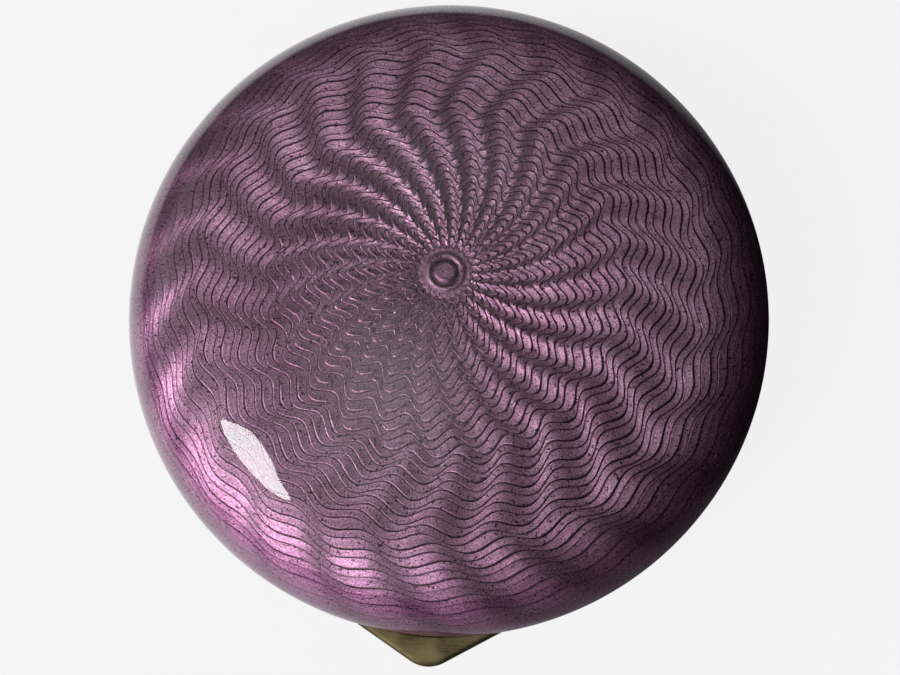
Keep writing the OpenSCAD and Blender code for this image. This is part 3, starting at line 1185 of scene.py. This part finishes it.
@dataclass
class Studio:
    """Pale floor, soft light and the camera.

    Attributes:
        reach: Distance of the camera from what it looks at, in radii of the box.
        target_up: Height of that point over the lid's rim, in radii.
        elevation: Height of the camera above the horizon, in degrees.
        azimuth: Turn of the camera to the right of the thumbpiece, in degrees.
        roll: Turn of the camera about its own axis, in degrees.
        focal: Focal length for a picture one unit wide.
        shift: Shift of the picture, as shares of its width.
        window: The window's azimuth, elevation, distance, width, height and brightness.
        lamp_aim_z: Height over the floor that the window faces.
        patches: Azimuth, elevation, tightness and brightness of each pale patch of the surroundings.
        sky: Colour of the surroundings.
        floor_r: Radius of the floor.
        floor_rows: Rings of the floor's mesh.
        floor_columns: Steps round it.
        paper_mm: Distance between the faint clouds in the floor's paper.
        floor_seen: Share of plain white in the floor as the camera sees it.
        floor_near: Distances, in radii of the box, between which the floor's painted light fades.
        floor_far: Share of that painted light that the floor keeps beyond them.
        painted_window_side: Azimuth in which the floor is painted paler under the window and darker in the
            box's shadow, and its darkest and palest shares of white, as seen through the enamel.
        painted_mirror_side: The same painted light and shadow for the floor as it is mirrored in the box.
    """

    box: Box
    reach: float = 3.0
    target_up: float = 0.3
    elevation: float = 76.6
    azimuth: float = 7.2
    roll: float = -4.0
    focal: float = 1.149
    shift: tuple[float, float] = (0.0041, -0.0595)
    window: tuple[float, float, float, float, float, float] = (-57.0, 46.0, 0.6, 0.2, 0.12, 15.0)
    lamp_aim_z: float = 12 * MM
    patches: tuple[tuple[float, float, float, float], ...] = (
        (-45.0, 14.0, 4.0, 1.1), (-55.0, 77.0, 40.0, 1.6), (-105.0, 8.0, 14.0, 0.5),
        (-174.0, 60.0, 16.0, 0.5), (108.0, 44.0, 20.0, 0.08))
    sky: str = "#fbfdff"
    floor_r: float = 3.0
    floor_rows: int = 8
    floor_columns: int = 64
    paper_mm: float = 2.5
    floor_seen: float = 0.84
    floor_near: tuple[float, float] = (2.4, 3.2)
    floor_far: float = 0.08
    painted_window_side: tuple[float, float, float] = (-57.0, 0.01, 0.35)
    painted_mirror_side: tuple[float, float, float] = (-113.0, 0.0, 0.9)

    def aim(self, azimuth: float, elevation: float) -> Vector:
        """Direction from the box towards a place round it, with angles in degrees as the camera's."""
        a, e = math.radians(azimuth), math.radians(elevation)
        return Vector((math.sin(a) * math.cos(e), -math.cos(a) * math.cos(e), math.sin(e)))

    def place_camera(self, rim_z: float) -> None:
        """Makes the camera and points it at the lid.

        Args:
            rim_z: Height of the lid's rim.
        """
        target = Vector((0, 0, rim_z + self.target_up * self.box.rim_r))
        back = self.aim(self.azimuth, self.elevation)
        data = bpy.data.cameras.new("camera")
        data.sensor_width = 36.0
        data.lens = self.focal * data.sensor_width
        data.shift_x, data.shift_y = self.shift
        data.clip_start = 0.001
        camera = bpy.data.objects.new("camera", data)
        turn = back.to_track_quat("Z", "Y").to_matrix() @ Matrix.Rotation(math.radians(self.roll), 3, "Z")
        camera.matrix_world = Matrix.Translation(target + back * self.reach * self.box.rim_r) @ turn.to_4x4()
        bpy.context.scene.collection.objects.link(camera)
        bpy.context.scene.camera = camera

    def add_window(self) -> None:
        """Adds the window, an oval soft lamp that faces the box.

        Its power is radiance * pi * the oval's area, since an even lamp of that power has that radiance.
        """
        azimuth, elevation, distance, width, height, radiance = self.window
        data = bpy.data.lights.new("window", "AREA")
        data.shape = "ELLIPSE"
        data.size, data.size_y = width, height
        data.energy = radiance * math.pi * width * height * math.pi / 4
        lamp = bpy.data.objects.new("window", data)
        back = self.aim(azimuth, elevation)
        lamp.matrix_world = Matrix.Translation(back * distance + Vector((0, 0, self.lamp_aim_z))) \
            @ back.to_track_quat("Z", "Y").to_matrix().to_4x4()
        bpy.context.scene.collection.objects.link(lamp)

    def painted_floor_light(self, graph: Graph, place: bpy.types.NodeSocket, azimuth: float, dark: float,
                   pale: float) -> bpy.types.NodeSocket:
        """Adds painted light and shadow to the floor round the box: paler to one side, darker to the other
        and far off.

        Args:
            graph: The floor's material.
            place: Where a point of the floor lies.
            azimuth: Direction in which it grows paler, in degrees.
            dark: Share of white well behind the box in that direction.
            pale: Share of white well in front of it.

        Returns:
            The share of white.
        """
        along = graph.add("VectorMath", {"operation": "DOT_PRODUCT"}, at0=place, at1=self.aim(azimuth, 0.0))
        reach = self.box.rim_r
        side = graph.add("MapRange", Value=along.outputs["Value"], From_Min=-reach, From_Max=reach,
                         To_Min=dark, To_Max=pale)
        away = graph.add("VectorMath", {"operation": "LENGTH"}, at0=place)
        near = graph.add("MapRange", Value=away.outputs["Value"], From_Min=self.floor_near[0] * reach,
                         From_Max=self.floor_near[1] * reach, To_Min=1.0, To_Max=self.floor_far)
        return graph.add("Math", {"operation": "MULTIPLY"}, at0=side.outputs[0],
                         at1=near.outputs[0]).outputs[0]

    def lay_floor(self) -> None:
        """Lays a pale floor, a round sheet whose points are (r cos a, r sin a, 0).

        The camera sees it as pale paper. The enamel and the metal see as much of its white as
        painted_floor_light
        gives: painted light under the window, and painted shadow away from it and far off. The floor keeps
        the box's shadow.
        """
        rings = np.linspace(0.05, 1.0, self.floor_rows) ** 2 * self.floor_r
        points = lathe(np.stack([rings, 0 * rings], 1), self.floor_columns)
        points = np.concatenate([points, [[0, 0, 0]]])
        faces = [grid_faces(self.floor_rows, self.floor_columns),
                 cap_faces(len(points) - 1, 0, self.floor_columns)]
        graph = Graph(bpy.data.materials.new("pale_floor"))
        place = graph.add("TexCoord").outputs["Object"]
        paper = graph.add("TexNoise", Vector=place, Scale=1 / (self.paper_mm * MM), Detail=3.0)
        seen = graph.add("ValToRGB", stops=((0.3, "#f4f4f4"), (0.7, "#f8f8f8")), Fac=paper.outputs["Fac"])
        white = graph.add("Emission", Color=(1.0, 1.0, 1.0, 1.0), Strength=1.0)
        path = graph.add("LightPath")
        # The colour and shares that the enamel and metal see are painted light and shadow: pale under the
        # window, dark in the box's shadow.
        lit, mirrored = (self.painted_floor_light(graph, place, *fall) for fall in (self.painted_window_side, self.painted_mirror_side))
        colour = graph.add("Mix", {"data_type": "RGBA"}, at0=path.outputs["Is Camera Ray"], at6=lit,
                           at7=seen.outputs["Color"])
        matt = graph.add("BsdfDiffuse", Color=colour.outputs[2])
        share = graph.add("Math", {"operation": "MULTIPLY"}, at0=path.outputs["Is Camera Ray"],
                          at1=self.floor_seen)
        for ray, fall in (("Is Glossy Ray", mirrored), ("Is Transmission Ray", lit)):
            part = graph.add("Math", {"operation": "MULTIPLY"}, at0=path.outputs[ray], at1=fall)
            share = graph.add("Math", {"operation": "ADD", "use_clamp": True}, at0=share.outputs[0],
                              at1=part.outputs[0])
        shader = graph.add("MixShader", at0=share.outputs[0], at1=matt.outputs[0], at2=white.outputs[0])
        floor = Surface(points, faces, [0, 0]).build("floor", [graph.finish(shader.outputs[0])])

    def light(self) -> None:
        """Lights the box: a window on the left, pale walls behind it, and little from the right.

        The surroundings' brightness in direction d is the sum of weight * exp(tightness * (d . c - 1))
        over the patches, where c is a patch's middle. The camera itself sees at least plain white there.
        """
        self.add_window()
        graph = Graph(bpy.data.worlds.new("surroundings"), "OutputWorld")
        bpy.context.scene.world = graph.owner
        around = graph.add("TexCoord").outputs["Generated"]
        total: bpy.types.NodeSocket | float = 0.0
        for azimuth, elevation, tightness, weight in self.patches:
            facing = graph.add("VectorMath", {"operation": "DOT_PRODUCT"}, at0=around,
                               at1=self.aim(azimuth, elevation))
            power = graph.add("Math", {"operation": "MULTIPLY_ADD"}, at0=facing.outputs["Value"],
                              at1=tightness, at2=math.log(weight) - tightness)
            glow = graph.add("Math", {"operation": "EXPONENT"}, at0=power.outputs[0])
            total = graph.add("Math", {"operation": "ADD"}, at0=glow.outputs[0], at1=total).outputs[0]
        path = graph.add("LightPath")
        seen = graph.add("Math", {"operation": "MAXIMUM"}, at0=total, at1=path.outputs["Is Camera Ray"])
        background = graph.add("Background", Color=linear(self.sky), Strength=seen.outputs[0])
        graph.finish(background.outputs[0])


def main() -> None:
    """Builds the whole picture, piece by piece."""
    logging.basicConfig(level=logging.INFO, format="%(name)s: %(message)s")
    bpy.context.scene.view_settings.view_transform = "Standard"
    box = Box.from_frame()
    lid = Lid(box)
    studio = Studio(box)
    studio.place_camera(lid.dome().rim_z)
    finishes = Finishes.make()
    lid.build(finishes)
    Base(box).build(finishes)
    Hinge().build(finishes)
    studio.lay_floor()
    studio.light()


if __name__ == "__main__":
    main()
